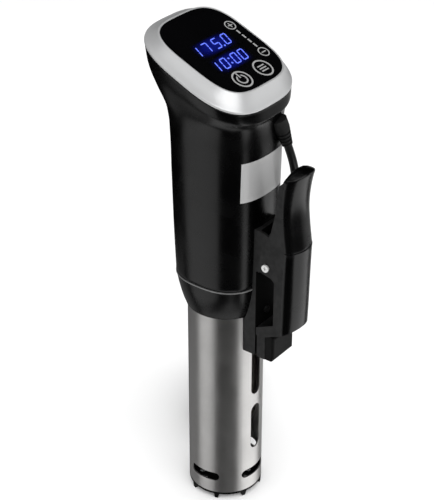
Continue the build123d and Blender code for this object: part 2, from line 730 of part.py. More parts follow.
armature_length = motor_length - 2 * armature_inset
fan_bottom = motor_bottom + motor_length + fan_gap
on_shaft("shaft_coupling", bulkhead_top + bush_proud + coupling_gap, coupling_length, coupling_radius)
on_shaft("motor_armature", motor_bottom + armature_inset, armature_length, armature_radius)
bladed("impeller", shaft_bottom, impeller_height, impeller_hub_radius, impeller_radius, impeller_blades)
bladed("cooling_fan", fan_bottom, fan_height, fan_hub_radius, fan_radius, fan_blades)

# ---------------------------------------------------------------- power board
board_middle = (0, power_board_y - board_thickness / 2, (power_board_low + power_board_high) / 2)
component_plane = Plane(origin=board_middle, x_dir=(1, 0, 0), z_dir=(0, -1, 0))

with BuildPart() as power_board:
    with BuildSketch(component_plane):
        Rectangle(power_board_width, power_board_high - power_board_low)
    extrude(amount=-board_thickness)
write(power_board, "power_board")

for name, (height, places) in board_parts.items():
    with BuildPart() as component:
        for x, y, width, length in places:
            with BuildSketch(component_plane):
                with Locations((x, y)):
                    Rectangle(width, length) if length else Circle(width / 2)
            extrude(amount=height)
    write(component, name)

with BuildPart() as collar_screws:
    with BuildSketch(Plane.XY.offset(collar_screw_seat)):
        with Locations(*[turned(boss_ring, angle) for angle in boss_angles]):
            Circle(boss_hole_radius)
    extrude(amount=collar_screw_length)
    with BuildSketch(Plane.XY.offset(collar_screw_seat)):
        with Locations(*[turned(boss_ring, angle) for angle in boss_angles]):
            Circle(screw_head_radius)
    extrude(amount=-screw_head_height)
write(collar_screws, "collar_screws")

# ---------------------------------------------------------------- clamp: bracket, pads, pin and spring
lever_inner = bracket_half_width + lever_gap
lever_half_width = lever_inner + lever_plate


def across(outline, half_width, mode=Mode.ADD, start=0.0):
    """A plate with an outline in y and z, over a width along X on both sides, or between two places on each."""
    with BuildPart(mode=Mode.PRIVATE) as plate:
        for side in (-1, 1):
            with BuildSketch(Plane.YZ.offset(side * start)):
                with BuildLine():
                    Polyline(*outline, close=True)
                make_face()
            extrude(amount=side * (half_width - start))
    add(plate.part, mode=mode)


def pin(radius, half_length, mode=Mode.ADD):
    """A round bar along the pivot's axis."""
    with BuildPart(mode=Mode.PRIVATE) as bar:
        with BuildSketch(Plane.YZ.offset(-half_length)):
            with Locations((pivot_y, pivot_z)):
                Circle(radius)
        extrude(amount=2 * half_length)
    add(bar.part, mode=mode)


def jaw_pad(face_y, bottom):
    """A thin rubber pad on a jaw's flat face."""
    width, height = 2 * (bracket_half_width - pad_inset), block_top - bottom - pad_inset
    with BuildPart() as pad:
        with BuildSketch(Plane.XZ.offset(-face_y)):
            with Locations((0, (bottom + block_top) / 2)):
                RectangleRounded(width, height, pad_corner)
        extrude(amount=pad_thickness)
    return pad


channel_far_y = 2 * pivot_y
channel_top = bracket_top + housing_wall
channel = [(channel_far_y, channel_bottom), (bracket_back_y, channel_bottom)]
channel += [(bracket_back_y, channel_top), (channel_far_y, channel_top)]

with BuildPart() as clamp_bracket:
    across(cheek_outline, bracket_half_width)
    across(channel, bracket_half_width - bracket_cheek, Mode.SUBTRACT)
    body_loft(grip_body_sections, 0, Mode.SUBTRACT)
    body_loft(collar_sections, body_clearance, Mode.SUBTRACT)
    parting_ring(ring_proud + body_clearance, Mode.SUBTRACT)
    with BuildSketch(Plane.XY.offset(bracket_bottom)):
        Circle(sleeve_radius + body_clearance)
    extrude(amount=parting_height - bracket_bottom, mode=Mode.SUBTRACT)
    pin(pivot_radius, bracket_half_width, Mode.SUBTRACT)
    screw_holes(Mode.SUBTRACT)
write(clamp_bracket, "clamp_bracket")

with BuildPart() as bracket_screws:
    for z, seat in zip(bracket_screw_heights, (jaw_face_y, bracket_back_y)):
        with BuildSketch(Plane.XZ.offset(bracket_screw_depth)):
            with Locations((0, z)):
                Circle(screw_radius)
        extrude(amount=-seat - bracket_screw_depth)
        with BuildSketch(Plane.XZ.offset(-seat)):
            with Locations((0, z)):
                Circle(screw_head_radius)
        extrude(amount=screw_head_height)
write(bracket_screws, "bracket_screws")

write(jaw_pad(jaw_face_y, bracket_bottom), "inner_jaw_pad")
write(jaw_pad(lever_leg_face_y + pad_thickness, lever_bottom_z), "outer_jaw_pad")

pin_half = lever_half_width + lever_gap
with BuildPart() as pivot_pin:
    pin(pivot_radius, pin_half)
write(pivot_pin, "pivot_pin")

with BuildPart() as pivot_screws:
    for side in (-1, 1):
        with BuildSketch(Plane.YZ.offset(side * pin_half)):
            with Locations((pivot_y, pivot_z)):
                Circle(pivot_head_radius)
        extrude(amount=side * pivot_head_height)
        with BuildSketch(Plane.YZ.offset(side * (pin_half + pivot_head_height))):
            with Locations((pivot_y, pivot_z)):
                Rectangle(pivot_head_radius, pivot_slot)
                Rectangle(pivot_slot, pivot_head_radius)
        extrude(amount=-side * pivot_head_height / 2, mode=Mode.SUBTRACT)
write(pivot_screws, "pivot_screws")

spring_length = spring_turns * spring_pitch
with BuildPart() as torsion_spring:
    with BuildLine() as coil:
        spring_start = (-spring_length / 2, pivot_y, pivot_z)
        Helix(spring_pitch, spring_length, spring_radius, center=spring_start, direction=(1, 0, 0))
    with BuildSketch(Plane(origin=coil.line @ 0, z_dir=coil.line % 0)):
        Circle(spring_wire)
    sweep(path=coil.line, is_frenet=True)
write(torsion_spring, "torsion_spring")

# ---------------------------------------------------------------- clamp: lever and its covers
bar_end, bar_inner = crease[0], (lever_leg_face_y, bar_outline[-1][1])
leg_top = bar_inner[1] + web_thickness
leg_outline = [(lever_leg_face_y, leg_top), (lever_leg_face_y, lever_bottom_z)]
leg_outline += [(bar_outline[-1][0], lever_bottom_z), (bar_outline[-1][0], leg_top)]
web_outline = [*crease, lever_tip, *[(y + web_thickness, z) for y, z in reversed(crease)]]

with BuildPart() as clamp_lever:
    side_plate = [lever_tip, *plate_inside, *plate_window, *bar_outline, *crease]
    across(side_plate, lever_half_width, start=lever_inner)
    across([*bar_outline, *crease[:2]], lever_half_width)
    across(leg_outline, lever_leg_half_width)
    across(web_outline, lever_half_width)
    pin(pivot_radius + pivot_clearance, lever_half_width, Mode.SUBTRACT)
write(clamp_lever, "clamp_lever")

with BuildPart() as jaw_block:
    block_front = bar_outline[-1][0]
    with BuildSketch(Plane.XZ.offset(-block_front)):
        with Locations((0, (lever_bottom_z + block_top) / 2)):
            Rectangle(2 * bracket_half_width, block_top - lever_bottom_z)
    extrude(amount=block_depth)
    across([*bar_outline, *crease[:2]], lever_half_width, Mode.SUBTRACT)
    outer = jaw_block.faces().sort_by(Axis.Y)[0]
    fillet(outer.edges(), block_round)
write(jaw_block, "jaw_block")


def cover_section(z, back_y, bulge):
    """A D-shaped section of the cover, its flat side a little behind the crease."""
    with BuildSketch(Plane.XY.offset(z)) as sketch:
        with Locations((0, back_y)):
            Ellipse(lever_half_width, bulge)
        with Locations((0, back_y + bulge)):
            Rectangle(2 * lever_half_width, 2 * bulge, mode=Mode.SUBTRACT)
        with Locations((0, back_y + cover_overlap / 2)):
            Rectangle(2 * lever_half_width, cover_overlap)
    return sketch.sketch.face()


inside_y = bar_end[0] + 2 * cover_overlap
below, above = (crease[0][0], lever_bottom_z), (lever_tip[0], grip_sections[-1][0])
behind_crease = [(inside_y, below[1]), below, *crease, lever_tip, above, (inside_y, above[1])]

with BuildPart() as lever_shell:
    loft([cover_section(*section) for section in lower_cover_sections])
    across(behind_crease, lever_half_width + 1, Mode.SUBTRACT)
    split(bisect_by=tilted(*bar_end, -lever_bottom_slope), keep=Keep.TOP)
write(lever_shell, "lever_shell")

with BuildPart() as lever_grip:
    loft([cover_section(*section) for section in grip_sections])
    across(behind_crease, lever_half_width + 1, Mode.SUBTRACT)
    with BuildSketch(tilted(lever_tip[0], grip_top, 90 - grip_flare)):
        with BuildLine():
            side = lever_half_width + 2
            drop = grip_arch * (side / lever_half_width) ** 2
            arch = ThreePointArc((-side, -drop), (0, 0), (side, -drop))
            Polyline(arch @ 1, (side, side), (-side, side), arch @ 0)
        make_face()
    extrude(amount=side * 2, both=True, mode=Mode.SUBTRACT)
write(lever_grip, "lever_grip")

# ---------------------------------------------------------------- power cord
gland_start = gland_plane.offset(-gland_inside)
with BuildPart() as cord_gland:
    with BuildSketch(gland_start):
        Circle(gland_base_radius)
    extrude(amount=gland_inside)
    with BuildSketch(gland_plane):
        Circle(gland_base_radius)
    with BuildSketch(gland_plane.offset(gland_outside)):
        Circle(gland_tip_radius)
    loft()
    for i in range(gland_ribs):
        place = gland_outside - (i + 0.8) * gland_rib_pitch
        with BuildSketch(gland_plane.offset(place)):
            radius = gland_base_radius - (gland_base_radius - gland_tip_radius) * place / gland_outside
            Circle(2 * gland_base_radius)
            Circle(radius - gland_rib_depth, mode=Mode.SUBTRACT)
        extrude(amount=gland_rib_width, mode=Mode.SUBTRACT)
write(cord_gland, "cord_gland")


def bend_radii(points, share):
    """The radius at every corner that uses the given share of its shorter neighbour."""
    found = []
    for before, corner, after in zip(points, points[1:], points[2:]):
        into, out = Vector(*corner) - Vector(*before), Vector(*after) - Vector(*corner)
        found.append(share * min(into.length, out.length) / tan(radians(into.get_angle(out)) / 2))
    return found


radii = bend_radii(cord_route, cord_bend_share)
print("cord bends:", ", ".join(f"{radius:.0f}" for radius in radii))
with BuildPart() as power_cord:
    with BuildLine() as cord_path:
        FilletPolyline(*cord_route, radius=radii)
    with BuildSketch(Plane(origin=cord_path.line @ 0, z_dir=cord_path.line % 0)):
        Circle(cord_radius)
    sweep(path=cord_path.line)
cord_length = cord_path.wire().length
print("cord length", round(cord_length, 1), "mm")
cord_share = power_cord.part.volume / (pi * cord_radius**2 * cord_length)
print("cord volume against its section times its length:", round(cord_share, 4))
write(power_cord, "power_cord")

away = turned(1, behind_angle)
sideways = turned(1, behind_angle + 90)


def behind(s, w, z):
    """A level plane behind the tube: a distance away from it, a distance across, and a height."""
    return lying(s * away[0] + w * sideways[0], s * away[1] + w * sideways[1], z, behind_angle)


def level_box(s, size_s, size_w, low, high, mode):
    with BuildSketch(behind(s, 0, low)) as base:
        Rectangle(size_s, size_w)
    extrude(base.sketch.face(), amount=high - low, mode=mode)


tie_half = hank_waist + tie_thickness
with BuildPart() as cord_tie:
    level_box(hank_middle, tie_width, 2 * tie_half, 0, hank_height + tie_thickness, Mode.ADD)
    level_box(hank_middle, tie_width, 2 * hank_waist, tie_thickness, hank_height, Mode.SUBTRACT)
write(cord_tie, "cord_tie")

with BuildPart() as cord_hank:
    reach = hank_half_length - hank_end_radius
    with BuildSketch(behind(hank_middle, 0, 0)):
        with Locations((-reach, 0), (reach, 0)):
            Circle(hank_end_radius)
        Rectangle(2 * reach, 2 * hank_waist)
        fillet(vertices(), hank_fillet)
    extrude(amount=hank_height)
    add(cord_tie.part, mode=Mode.SUBTRACT)
    add(power_cord.part, mode=Mode.SUBTRACT)
write(cord_hank, "cord_hank")

plug_rest = hank_height + tie_thickness
plug_middle = plug_rest + plug_half_height


def plug_plane(s, rise=0.0):
    """A plane across the plug, facing the tube, at a distance from it."""
    x, y = (s * away[i] + plug_across * sideways[i] for i in (0, 1))
    across, towards = ([-part for part in direction] for direction in (sideways, away))
    return Plane(origin=(x, y, plug_middle + rise), x_dir=(*across, 0), z_dir=(*towards, 0))


with BuildPart() as plug_body:
    with BuildSketch(plug_plane(plug_start)):
        RectangleRounded(2 * plug_half_width, 2 * plug_half_height, plug_corner)
    extrude(amount=plug_length)
    with BuildSketch(plug_plane(plug_start)) as wide_end:
        RectangleRounded(2 * plug_half_width, 2 * plug_half_height, plug_corner)
    with BuildSketch(plug_plane(boot_start, boot_height - plug_middle)) as narrow_end:
        RectangleRounded(2 * boot_radius, 2 * boot_radius, boot_radius - 0.2)
    loft([wide_end.sketch.face(), narrow_end.sketch.face()])
write(plug_body, "plug_body")

with BuildPart() as plug_pins:
    face = plug_plane(plug_start - plug_length)
    with BuildSketch(face):
        with Locations((-blade_spread / 2, -ground_rise / 2), (blade_spread / 2, -ground_rise / 2)):
            Rectangle(blade_thickness, blade_width)
    extrude(amount=blade_length)
    with BuildSketch(face):
        with Locations((0, ground_rise)):
            Circle(ground_radius)
    extrude(amount=ground_length)
write(plug_pins, "plug_pins")
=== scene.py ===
# %% [markdown]
# # An immersion circulator, from a fixed frame to a finished look
# The real thing is a steel tube with a heater and a stirrer inside, a black moulded handle over it, a sloped
# touch panel on top and a sprung clamp that holds it on a pot. The CAD model already gives every part its place.
# This lesson dresses that frame: some parts keep their CAD mesh and get a finish, and the moulded ones that need
# a smoother skin are built again in mesh code, in the same place.

# %% The frame
import json
import math

import bmesh
import bpy
import numpy as np
from mathutils import Matrix, Vector


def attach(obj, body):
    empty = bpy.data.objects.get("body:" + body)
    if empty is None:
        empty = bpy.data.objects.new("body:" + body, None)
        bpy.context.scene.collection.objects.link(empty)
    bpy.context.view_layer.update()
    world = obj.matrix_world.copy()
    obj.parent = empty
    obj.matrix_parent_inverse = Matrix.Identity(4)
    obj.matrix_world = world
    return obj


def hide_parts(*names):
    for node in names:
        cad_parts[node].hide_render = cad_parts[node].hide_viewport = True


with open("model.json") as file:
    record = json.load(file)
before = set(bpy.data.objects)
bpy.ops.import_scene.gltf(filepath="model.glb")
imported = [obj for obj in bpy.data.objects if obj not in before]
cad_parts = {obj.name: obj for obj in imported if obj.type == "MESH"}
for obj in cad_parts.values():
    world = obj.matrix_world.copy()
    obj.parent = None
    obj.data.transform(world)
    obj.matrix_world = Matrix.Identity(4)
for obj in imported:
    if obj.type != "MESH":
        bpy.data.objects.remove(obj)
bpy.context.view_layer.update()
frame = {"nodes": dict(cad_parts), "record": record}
nodes = frame["nodes"]

# %% [markdown]
# ## The camera
# A long lens keeps the tube's sides nearly parallel, as on a product picture. The camera looks down by thirty
# degrees from the user's left, at a point halfway up the tube. Building its three axes by hand, in place of a
# tracking constraint, keeps the small roll and leaves nothing that could move later.

# %% Camera
MM = 0.001
CAMERA_AZIMUTH, CAMERA_ELEVATION, CAMERA_ROLL = (math.radians(a) for a in (-53.24, 30.58, 0.17))
CAMERA_DISTANCE = 1.12104
CAMERA_AIM = Vector((0, 0, 0.2195))
FILM_WIDTH, FOCAL_LENGTH = 36, 105.14


def camera_axes(azimuth, elevation, roll):
    """Right, up and back of a camera that looks at its aim from that side."""
    reach = math.cos(elevation)
    back = Vector((math.sin(azimuth) * reach, -math.cos(azimuth) * reach, math.sin(elevation)))
    level = Vector((math.cos(azimuth), math.sin(azimuth), 0))
    upright = back.cross(level)
    right = level * math.cos(roll) + upright * math.sin(roll)
    up = upright * math.cos(roll) - level * math.sin(roll)
    return right, up, back


camera = bpy.data.objects.new("camera", bpy.data.cameras.new("camera"))
bpy.context.scene.collection.objects.link(camera)
axes = camera_axes(CAMERA_AZIMUTH, CAMERA_ELEVATION, CAMERA_ROLL)
place = CAMERA_AIM + axes[2] * CAMERA_DISTANCE
camera.matrix_world = Matrix([[*(axis[i] for axis in axes), place[i]] for i in range(3)] + [[0, 0, 0, 1]])
camera.data.sensor_width, camera.data.lens = FILM_WIDTH, FOCAL_LENGTH
camera.data.shift_x, camera.data.shift_y = -0.0183, 0.0021
camera.data.clip_start, camera.data.clip_end = 0.05, 20
bpy.context.scene.camera = camera
print("camera at", [round(x, 3) for x in place])

# %% [markdown]
# ## The power cord
# A mains lead is round, rubbery and heavy enough to hang. It leaves the ribbed sleeve under the head, goes down
# past the clamp and behind the tube, and its spare length is folded into a tied hank. One NURBS spline does all
# of it, because its line has no corners: the control points pull the curve, and the curve never turns sharply.
# The folds are worked out by formula, as a loop that is drawn in at the tie and climbs a layer with each turn.

# %% Cord route
CORD_RADIUS = 3.2 * MM
BEHIND = math.radians(36.74)
ROUTE = [
    (17.3, -42.3, 317.0), (21.5, -45.0, 303.0), (27.0, -44.5, 283.0), (36.0, -37.0, 257.0),
    (45.0, -23.0, 229.0), (51.0, -5.0, 198.0), (52.0, 13.0, 162.0), (48.5, 21.5, 122.0),
    (45.5, 20.5, 86.0), (42.4, 11.3, 59.0), (42.8, 7.6, 37.0), (48.6, 10.1, 20.1),
    (59.7, 17.7, 8.1), (71.2, 28.0, 3.6),
]


def behind(s, w, z):
    """A point behind the tube, in millimetres: away from it, across, and up."""
    x = s * math.cos(BEHIND) - w * math.sin(BEHIND)
    y = s * math.sin(BEHIND) + w * math.cos(BEHIND)
    return x, y, z


# %% Hank of spare cord
HANK_MIDDLE, HANK_REACH, HANK_LAYERS = 104.5, 31.5, 4
FOLD = 19.75  # radius of a fold, and of the bends that lead into the tie
LEAD_ANGLE = math.asin(HANK_REACH / (2 * FOLD))
QUARTER = FOLD * (math.pi / 2 + 2 * LEAD_ANGLE)
LAYER, LOWEST, PLUG_LAYER = 6.4, 3.2, 29.8  # heights of the cord's middle line, and a layer's rise


def quarter(part):
    """A point of the loop's first quarter, from its near end to the tie."""
    angle = part * QUARTER / FOLD
    if angle < math.pi / 2 + LEAD_ANGLE:
        return HANK_MIDDLE - HANK_REACH - FOLD * math.cos(angle), FOLD * math.sin(angle)
    angle = math.pi / 2 + 2 * LEAD_ANGLE - angle
    return HANK_MIDDLE - FOLD * math.sin(angle), 2 * FOLD * math.cos(LEAD_ANGLE) - FOLD * math.cos(angle)


def loop(turn):
    """A point of the loop, away and across, after a number of turns from its near end."""
    part = turn % 1
    s, w = quarter(4 * min(part, abs(0.5 - part), 1 - part))
    return (s if part < 0.25 or part > 0.75 else 2 * HANK_MIDDLE - s), (w if part > 0.5 else -w)


def eased(x):
    """From 0 to 1, slowly at both ends."""
    x = min(1.0, max(0.0, x))
    return x * x * (3 - 2 * x)


hank = []
POINTS_PER_TURN, FIRST_POINT = 44, 8
LAST_TURN = HANK_LAYERS - 0.39
CLIMB, LAST_CLIMB = 0.3, 0.34  # parts of a turn in which the cord climbs a layer, and climbs to the plug
for i in range(FIRST_POINT, round(LAST_TURN * POINTS_PER_TURN)):
    turn = i / POINTS_PER_TURN
    climbed = sum(eased((turn - layer + CLIMB / 2) / CLIMB) for layer in range(1, HANK_LAYERS))
    height = LOWEST + LAYER * climbed
    height += (PLUG_LAYER - height) * eased((turn - HANK_LAYERS + 0.71) / LAST_CLIMB)
    hank.append(behind(*loop(turn), height))
hank += [behind(130.0, 19.2, PLUG_LAYER), behind(124.0, 18.3, PLUG_LAYER), behind(118.0, 18.0, PLUG_LAYER)]
print("hank points:", len(hank))

# %% Cord curve
cord_data = bpy.data.curves.new("power_lead", "CURVE")
cord_data.dimensions = "3D"
cord_data.bevel_depth = 1.0  # each point's radius gives the real size
cord_data.bevel_resolution = 6
cord_data.resolution_u = 8
cord_data.use_fill_caps = True
spline = cord_data.splines.new("NURBS")
points = ROUTE + hank
spline.points.add(len(points) - 1)
for point, corner in zip(spline.points, points):
    point.co = (*(x * MM for x in corner), 1)
    point.radius = CORD_RADIUS
spline.order_u = 3
spline.use_endpoint_u = True
power_lead = bpy.data.objects.new("power_lead", cord_data)
bpy.context.scene.collection.objects.link(power_lead)
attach(power_lead, "body")
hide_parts("power_cord", "cord_hank")

# %% [markdown]
# ## The moulded skins
# The handle, the collar and the panel's surround are mouldings with soft, changing sections: nearly round at the
# tube, squarer and wider towards the head, and tilted where the head leans to the user. A loft of a few sections
# through a smooth curve gives each one without a ripple. The rings are spaced by arc length, so the highlights
# run straight, and every open edge is turned in by a small radius, as a mould leaves it.

# %% Rings and skins
RING_POINTS = 144


def outline(half_x, half_y, power):
    """A rounded-square outline, evenly spaced, as an array of x and y."""
    angle = np.linspace(0, 2 * np.pi, 2881)
    cosine, sine = np.cos(angle), np.sin(angle)
    x = half_x * np.sign(cosine) * np.abs(cosine) ** (2 / power)
    y = half_y * np.sign(sine) * np.abs(sine) ** (2 / power)
    run = np.concatenate([[0], np.cumsum(np.hypot(np.diff(x), np.diff(y)))])
    even = np.linspace(0, run[-1], RING_POINTS, endpoint=False)
    return np.stack([np.interp(even, run, x), np.interp(even, run, y)], axis=1)


def ring(y, z, tilt, half_x, half_y, power):
    """The outline on a plane through the middle line that leans towards the user, in metres."""
    flat, lean = outline(half_x, half_y, power), math.radians(tilt)
    across = [flat[:, 0], y + flat[:, 1] * math.cos(lean), z + flat[:, 1] * math.sin(lean)]
    return np.stack(across, axis=1) * MM


def skin(name, rings, body, replaced):
    """A smooth surface through a list of rings, that stands for a CAD node."""
    count = len(rings[0])
    corners = np.concatenate(rings)
    faces = [
        (a * count + i, a * count + (i + 1) % count, (a + 1) * count + (i + 1) % count, (a + 1) * count + i)
        for a in range(len(rings) - 1)
        for i in range(count)
    ]
    mesh = bpy.data.meshes.new(name)
    mesh.from_pydata(corners.tolist(), [], faces)
    mesh.shade_smooth()
    made = bpy.data.objects.new(name, mesh)
    bpy.context.scene.collection.objects.link(made)
    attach(made, body)
    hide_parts(*replaced)
    print(name, "faces:", len(faces))
    return made


def through(sections, along, steps):
    """Sections between the given ones, on a smooth curve through them, at even steps of one of their numbers."""
    table = np.array(sections, dtype=float)
    at = table[:, along]
    slope = np.gradient(table, at, axis=0)
    wanted = np.linspace(at[0], at[-1], steps)
    index = np.clip(np.searchsorted(at, wanted, side="right") - 1, 0, len(at) - 2)
    gap = (at[index + 1] - at[index])[:, None]
    t = (wanted - at[index])[:, None] / gap
    low, high = table[index], table[index + 1]
    curve = (2 * t**3 - 3 * t**2 + 1) * low + (t**3 - 2 * t**2 + t) * gap * slope[index]
    return curve + (3 * t**2 - 2 * t**3) * high + (t**3 - t**2) * gap * slope[index + 1]


def turned_in(section, inward, along):
    """A section drawn in by a small amount and moved along the axis, for a rounded edge."""
    y, z, tilt, half_x, half_y, power = section
    lean = math.radians(tilt)
    return y - along * math.sin(lean), z + along * math.cos(lean), tilt, half_x - inward, half_y - inward, power


def rounded(section, radius, direction):
    """Rings that round an open edge over, from the outside in. direction is 1 at a top edge, -1 at a bottom one."""
    turns = [math.radians(15 * i) for i in range(1, 7)]
    return [turned_in(section, radius * (1 - math.cos(a)), direction * radius * math.sin(a)) for a in turns]


# %% Handle
SEAM = (0.0, 205.4, 0.0, 35.15, 36.15, 2.55)
HANDLE = [
    SEAM, (0.0, 240.0, 0.0, 36.1, 37.1, 2.6), (0.0, 290.0, 0.0, 37.0, 37.9, 2.65),
    (0.0, 322.0, 0.0, 37.4, 38.4, 2.69), (0.2, 336.0, 1.3, 37.9, 38.9, 2.75), (1.0, 345.5, 4.8, 39.3, 40.6, 2.8),
    (3.4, 354.0, 12.2, 42.0, 45.2, 2.9), (5.7, 362.4, 19.0, 44.9, 49.2, 2.98), (7.0, 374.6, 24.36, 47.05, 51.8, 3.02),
]
sections = [tuple(row) for row in through(HANDLE, 1, 72)]
foot = [turned_in(SEAM, 3.0, 0), turned_in(SEAM, 0.5, 0), turned_in(SEAM, 0.12, 0.1)]
rim = rounded(HANDLE[-1], 0.5, 1) + [turned_in(HANDLE[-1], 4.0, 0.5)]
handle_rings = [ring(*section) for section in foot + sections[1:] + rim]
handle_skin = skin("handle_skin", handle_rings, "body", ["housing"])

# %% Collar
COLLAR = [
    (0.0, 177.3, 0.0, 31.0, 31.0, 2.05), (0.0, 183.0, 0.0, 32.4, 32.7, 2.15),
    (0.0, 192.0, 0.0, 34.0, 34.5, 2.3), (0.0, 204.2, 0.0, 35.15, 36.1, 2.54),
]
sections = [tuple(row) for row in through(COLLAR, 1, 28)]
foot = [turned_in(COLLAR[0], 0.9, -0.5)] + rounded(COLLAR[0], 0.5, -1)[::-1]
rim = rounded(COLLAR[-1], 0.4, 1) + [turned_in(COLLAR[-1], 4.0, 0.4)]
collar_rings = [ring(*section) for section in foot + sections + rim]
collar_skin = skin("collar_skin", collar_rings, "body", ["lower_collar"])

# %% [markdown]
# ## The panel's surround
# The surround is one silver-painted moulding: a short upright lip, a slope that is a little hollow, and a narrow
# rim round the glass. Its profile is a list of pairs, how far up and how far in, carried round the outline.

# %% Surround
LOW_FRAME, HIGH_FRAME = np.array([7.07, 375.4, 24.36]), np.array([4.54, 385.1, 23.07])
OUTER, INNER = np.array([47.24, 51.99, 3.02]), np.array([36.7, 41.3, 3.67])
PROFILE = [
    (-0.02, 0.40), (0.0, 0.04), (0.012, 0.01), (0.03, 0.0), (0.08, 0.0), (0.12, 0.003), (0.145, 0.012),
    (0.165, 0.03), (0.20, 0.075), (0.26, 0.16), (0.34, 0.27), (0.44, 0.39), (0.55, 0.505), (0.66, 0.61),
    (0.77, 0.705), (0.86, 0.775), (0.925, 0.825), (0.96, 0.85), (0.985, 0.868), (0.997, 0.885), (1.0, 0.905),
    (1.0, 0.96), (0.996, 0.98), (0.985, 0.993), (0.96, 1.0), (0.80, 1.0),
]
surround_rings = []
for up, inward in PROFILE:
    y, z, tilt = LOW_FRAME + (HIGH_FRAME - LOW_FRAME) * up
    half_x, half_y, power = OUTER + (INNER - OUTER) * inward
    surround_rings.append(ring(y, z, tilt, half_x, half_y, power))
surround = skin("panel_surround", surround_rings, "body", ["bezel"])

# %% [markdown]
# ## The lever's grip
# The thumb grip is a soft moulding on the lever: a half oval in section, waisted where the thumb lies, flared at
# the tip and arched along its top edge. A loft with rounded ends gives it the thick, soft edge that a bevel on
# a thin lip can't.

# %% Grip
GRIP_LOW, GRIP_HALF, GRIP_EDGE = 247.3, 15.7, 1.5  # lower end, half its width, and the radius of its top edge
GRIP_SIDE_TOP, GRIP_ARCH, GRIP_HEART = 306.2, 5.0, 0.45  # where its top starts, how far it arches, its middle line
GRIP = [  # height, where the back lies, and how far the front stands out
    (GRIP_LOW, -64.6, 8.8), (262.0, -62.6, 8.75), (280.0, -61.2, 8.8), (297.0, -61.8, 10.1), (318.0, -64.2, 13.4),
]
grip_table = through(GRIP, 0, 80)
front = np.linspace(math.pi, 2 * math.pi, 65)
GRIP_OUTLINE = np.concatenate([
    [(0.985, -0.06), (0.9, -0.075), (0.5, -0.075), (0.0, -0.075), (-0.5, -0.075), (-0.9, -0.075), (-0.985, -0.06)],
    np.stack([np.cos(front), -np.sin(front)], axis=1),
])


def grip_ring(part, inset=0.0, rise=0.0, shrink=1.0):
    """The grip's outline at a part of its height, drawn in, raised, or shrunk to its middle."""
    across, out = GRIP_OUTLINE[:, 0] * shrink, (GRIP_OUTLINE[:, 1] - GRIP_HEART) * shrink + GRIP_HEART
    x = across * (GRIP_HALF - inset)
    top = GRIP_SIDE_TOP + GRIP_ARCH * (1 - (x / GRIP_HALF) ** 2)
    z = GRIP_LOW + (top - GRIP_LOW) * part + rise
    back, bulge = (np.interp(z, grip_table[:, 0], grip_table[:, i]) for i in (1, 2))
    return np.stack([x, back - inset - out * (bulge - 2 * inset), z], axis=1) * MM


turns = [math.radians(15 * i) for i in range(6)]
low_rings = [grip_ring(0, 2.0), grip_ring(0, 0.35), grip_ring(0, 0.12, 0.12), grip_ring(0, 0, 0.4)]
side_rings = [grip_ring(part) for part in np.linspace(0.02, 0.96, 40)]
top_rings = [grip_ring(1, GRIP_EDGE * (1 - math.cos(a)), GRIP_EDGE * (math.sin(a) - 1)) for a in turns]
cap_rings = [grip_ring(1, GRIP_EDGE, 0.0, shrink) for shrink in (1.0, 0.7, 0.4, 0.1, 0.01)]
grip_rings = low_rings + side_rings + top_rings + cap_rings
grip_skin = skin("grip_skin", grip_rings, "lever", ["lever_grip"])

# %% [markdown]
# ## The glow round the digits
# A backlit display leaks a little colour round its lit segments. A thin film over each row of digits carries it:
# clear at its border and deep blue in the middle, so the digits stand in a soft haze.

# %% Haze behind the digits
HAZE_SPREAD, HAZE_LIFT = 3.2 * MM, 0.02 * MM  # past the digits, and above their lower face
lean = math.radians(HIGH_FRAME[2])
uphill, outward = Vector((0, math.cos(lean), math.sin(lean))), Vector((0, -math.sin(lean), math.cos(lean)))
flat = np.array([(v.co.x, v.co.dot(uphill), v.co.dot(outward)) for v in nodes["display_digits"].data.vertices])
level = flat[:, 2].min() + HAZE_LIFT
in_upper_row = flat[:, 1] > flat[:, 1].mean()
hazes = []
for label, row in (("low_haze", flat[~in_upper_row]), ("high_haze", flat[in_upper_row])):
    (x0, v0), (x1, v1) = row[:, :2].min(axis=0) - HAZE_SPREAD, row[:, :2].max(axis=0) + HAZE_SPREAD
    corners = [(x0, v0), (x1, v0), (x1, v1), (x0, v1)]
    mesh = bpy.data.meshes.new(label)
    mesh.from_pydata([Vector((x, 0, 0)) + uphill * v + outward * level for x, v in corners], [], [(0, 1, 2, 3)])
    haze = bpy.data.objects.new(label, mesh)
    bpy.context.scene.collection.objects.link(haze)
    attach(haze, "body")
    hazes.append(haze)
print("haze rows:", len(hazes))

# %% [markdown]
# ## Shared surface effects
# Plastic, rubber and steel all carry the same few marks: a fine grain from the mould, faint smears where hands
# have been, and edges that catch the light. Each is a node group that gives one value, so that every material
# can take as much of it as it needs, and a change to the group changes them all.

# %% Node helper
def add(tree, kind, inputs=None, **settings):
    """A new node with its settings made, and its inputs set to numbers or linked to sockets."""
    made = tree.nodes.new(kind)
    for name, value in settings.items():
        setattr(made, name, value)
    for name, value in (inputs or {}).items():
        if isinstance(value, bpy.types.NodeSocket):
            tree.links.new(value, made.inputs[name])
        else:
            made.inputs[name].default_value = value
    return made


def effect(name, sockets):
    """A new node group with float inputs, given as name and value, and one float output."""
    tree = bpy.data.node_groups.new(name, "ShaderNodeTree")
    for label, value in sockets.items():
        socket = tree.interface.new_socket(label, in_out="INPUT", socket_type="NodeSocketFloat")
        socket.default_value = value
    tree.interface.new_socket("Value", in_out="OUTPUT", socket_type="NodeSocketFloat")
    return tree, tree.nodes.new("NodeGroupInput"), tree.nodes.new("NodeGroupOutput")


